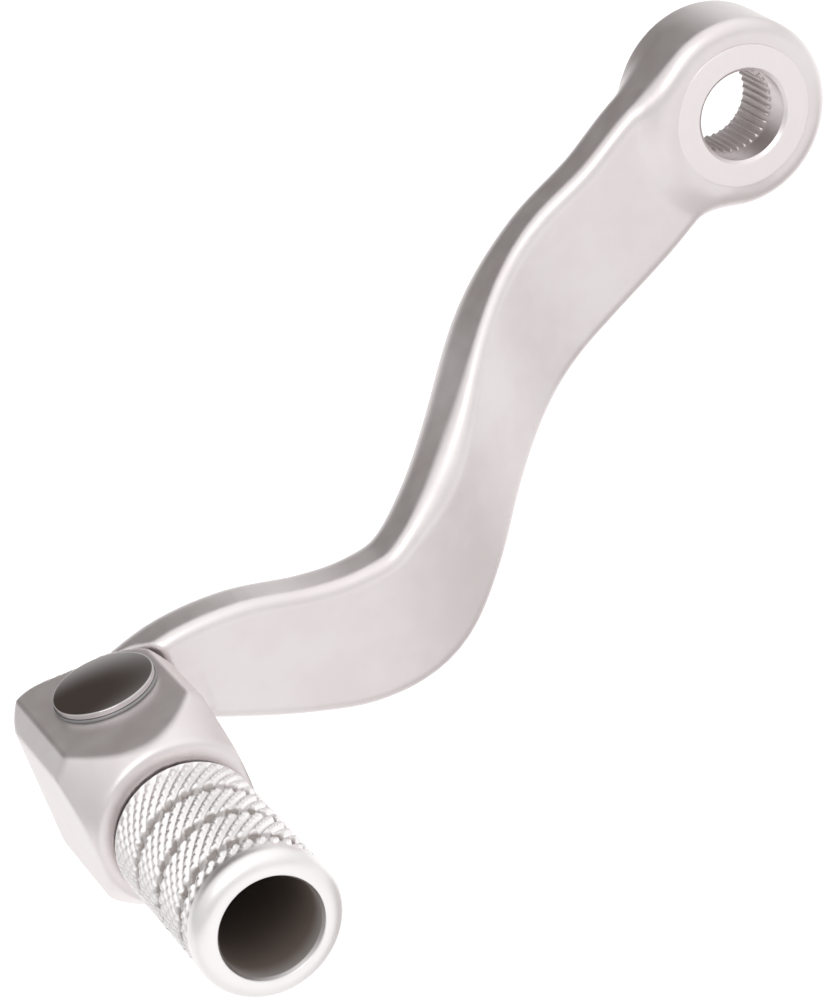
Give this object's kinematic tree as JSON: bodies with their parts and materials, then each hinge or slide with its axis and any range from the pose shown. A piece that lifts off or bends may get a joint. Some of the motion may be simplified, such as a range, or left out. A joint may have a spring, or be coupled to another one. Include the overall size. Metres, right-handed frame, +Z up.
{
  "type": "motorcycle gear shift lever",
  "caption": "Forged gear shift lever with a splined hub, a cranked arm and a spring-loaded folding tip carrying a hollow knurled toe peg.",
  "frame": {"origin": "middle of the splined hub bore, on the axis of the shift shaft it fits", "axes": "X along the lever with the toe peg at -X and +X to the rear of the motorcycle, -Y outboard (the way the peg points), +Z up, parallel to the fold pivot's axis"},
  "size_m": [0.1459, 0.0857, 0.0591],
  "materials": {
    "forged_aluminium": "satin, fine blasted forging",
    "machined_aluminium": "bright, turned and knurled",
    "polished_steel": "mirror polished",
    "plain_steel": "plain",
    "bush_brass": "turned",
    "washer_plastic": "matte black",
    "spring_steel": "drawn wire"
  },
  "bodies": {
    "arm": {"lever_arm": "forged_aluminium", "pivot_bush": "bush_brass", "return_spring": "spring_steel"},
    "tip": {"tip_knuckle": "forged_aluminium", "toe_peg": "machined_aluminium", "pivot_pin": "polished_steel", "head_washer": "plain_steel", "lock_nut": "plain_steel", "upper_thrust_washer": "washer_plastic", "lower_thrust_washer": "washer_plastic"}
  },
  "joints": [
    {"name": "tip_fold", "type": "hinge", "parent": "arm", "child": "tip", "pos_m": [-0.1195, -0.0298, -0.0292], "axis": [0, 0, 1], "range_deg": [0, 40], "stiffness_Nm_per_rad": 0.4, "springref_deg": -51.57, "deforming": ["return_spring"]}
  ]
}
